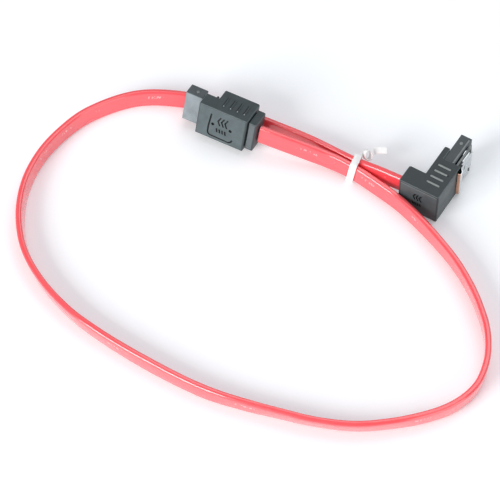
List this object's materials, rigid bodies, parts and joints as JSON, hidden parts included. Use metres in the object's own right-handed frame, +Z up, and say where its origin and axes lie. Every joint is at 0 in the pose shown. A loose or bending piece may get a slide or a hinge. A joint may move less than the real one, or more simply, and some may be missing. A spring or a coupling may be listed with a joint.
{
  "type": "serial data cable",
  "caption": "Flat red data cable laid in a loop with a paper twist tie, a straight black plug at one end and a right-angle black plug with a spring latch at the other.",
  "frame": {"origin": "on the surface that the cable lies on, below the middle of the box round the two plugs and the latch", "axes": "+Z up from the surface; +X along the longest extent of the two plugs taken together, from the straight plug to the right-angle plug; the loop lies towards -Y"},
  "size_m": [0.1801, 0.1566, 0.019],
  "materials": {
    "overmould": "fine matt texture",
    "shell_plastic": "smooth satin",
    "cable_jacket": "smooth soft sheath with a slight gloss",
    "latch_steel": "bright rolled spring steel",
    "contact": "bright gilt",
    "drain_wire": "bare tinned copper",
    "signal_wire": "plain insulation",
    "inner_mould": "natural moulded plastic",
    "twist_tie": "coated white strip"
  },
  "bodies": {
    "cable": {"straight_shell": "shell_plastic", "straight_contact_1": "contact", "straight_contact_2": "contact", "straight_contact_3": "contact", "straight_contact_4": "contact", "straight_contact_5": "contact", "straight_contact_6": "contact", "straight_contact_7": "contact", "straight_inner_mould": "inner_mould", "straight_wire_1": "drain_wire", "straight_wire_2": "signal_wire", "straight_wire_3": "signal_wire", "straight_wire_4": "drain_wire", "straight_wire_5": "signal_wire", "straight_wire_6": "signal_wire", "straight_wire_7": "drain_wire", "straight_overmould": "overmould", "angled_shell": "shell_plastic", "angled_contact_1": "contact", "angled_contact_2": "contact", "angled_contact_3": "contact", "angled_contact_4": "contact", "angled_contact_5": "contact", "angled_contact_6": "contact", "angled_contact_7": "contact", "angled_inner_mould": "inner_mould", "angled_wire_1": "drain_wire", "angled_wire_2": "signal_wire", "angled_wire_3": "signal_wire", "angled_wire_4": "drain_wire", "angled_wire_5": "signal_wire", "angled_wire_6": "signal_wire", "angled_wire_7": "drain_wire", "angled_overmould": "overmould", "cable_jacket": "cable_jacket", "twist_tie": "twist_tie"},
    "latch": {"latch_spring": "latch_steel"}
  },
  "joints": [
    {"name": "latch_press", "type": "hinge", "parent": "cable", "child": "latch", "pos_m": [0.05477, -0.00337, 0.00776], "axis": [0, 0, -1], "range_deg": [0, 1.3], "stiffness_Nm_per_rad": 0.3}
  ]
}
